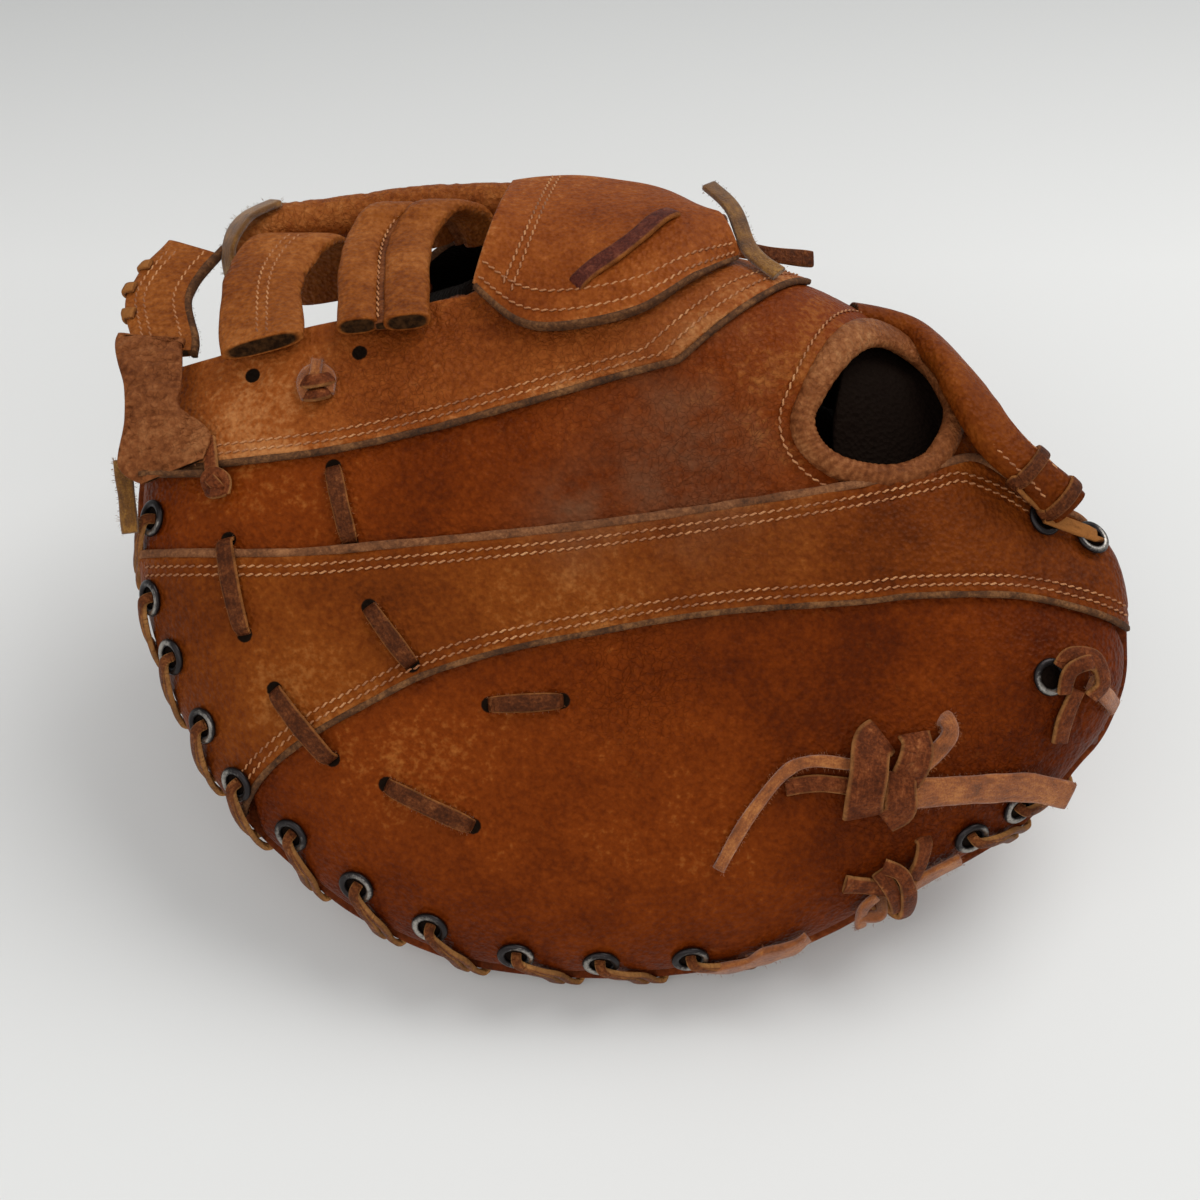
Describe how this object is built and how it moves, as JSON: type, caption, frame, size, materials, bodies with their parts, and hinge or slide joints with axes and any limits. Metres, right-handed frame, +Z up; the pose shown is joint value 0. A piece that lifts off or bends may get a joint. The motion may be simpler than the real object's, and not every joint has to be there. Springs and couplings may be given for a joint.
{
  "type": "first baseman mitt",
  "caption": "Curved first baseman mitt for the left hand, palm down, with laced rim, web of bars and post, hand hole and wrist strap.",
  "frame": {"origin": "centre of the bounding box, at the surface that the mitt lies on", "axes": "+X from the fingertips to the heel, +Y from the little-finger rim to the thumb rim, +Z up"},
  "size_m": [0.304, 0.2688, 0.1647],
  "materials": {
    "tan_leather": "worn smooth cowhide with fine grain",
    "russet_leather": "worn smooth cowhide, darker and redder",
    "binding_leather": "soft rolled and gathered leather",
    "palm_leather": "padded pocket leather, burnished",
    "welt_leather": "red-orange welt",
    "lace_leather": "dark brown rawhide lace, fibrous edges",
    "suede_lace": "golden suede flesh side of the lace",
    "gunmetal": "dark gunmetal eyelets, worn bright on their rims"
  },
  "bodies": {
    "root": {"palm": "palm_leather", "back_lower_panel": "russet_leather", "back_middle_strip": "tan_leather", "back_upper_panel": "tan_leather", "back_top_panel": "tan_leather", "thumb_back_panel": "russet_leather", "hand_hole_binding": "binding_leather", "finger_rim_welt": "welt_leather", "thumb_rim_welt": "welt_leather", "rim_eyelet_1": "gunmetal", "rim_eyelet_2": "gunmetal", "rim_eyelet_3": "gunmetal", "rim_eyelet_4": "gunmetal", "rim_eyelet_5": "gunmetal", "rim_eyelet_6": "gunmetal", "rim_eyelet_7": "gunmetal", "rim_eyelet_8": "gunmetal", "rim_eyelet_9": "gunmetal", "rim_eyelet_10": "gunmetal", "rim_eyelet_11": "gunmetal", "rim_eyelet_12": "gunmetal", "rim_eyelet_13": "gunmetal", "heel_eyelet_1": "gunmetal", "heel_eyelet_2": "gunmetal", "heel_eyelet_3": "gunmetal", "finger_rim_lace": "lace_leather", "thumb_rim_lace": "lace_leather", "back_lace_1": "lace_leather", "back_lace_2": "lace_leather", "back_lace_3": "lace_leather", "back_lace_4": "lace_leather", "back_lace_5": "lace_leather", "back_lace_6": "lace_leather", "wrist_strap": "binding_leather", "web_bar_1": "tan_leather", "web_bar_2": "tan_leather", "web_post": "binding_leather", "web_tip": "russet_leather", "web_tab": "russet_leather", "web_flap": "tan_leather", "flap_lace": "lace_leather", "web_tie_left": "suede_lace", "web_tie_right": "suede_lace", "web_post_tail": "lace_leather", "web_tab_tail": "suede_lace", "web_knot": "lace_leather", "tab_knot": "lace_leather", "heel_knot": "lace_leather", "heel_knot_low": "lace_leather", "heel_knot_side": "lace_leather"}
  },
  "joints": []
}
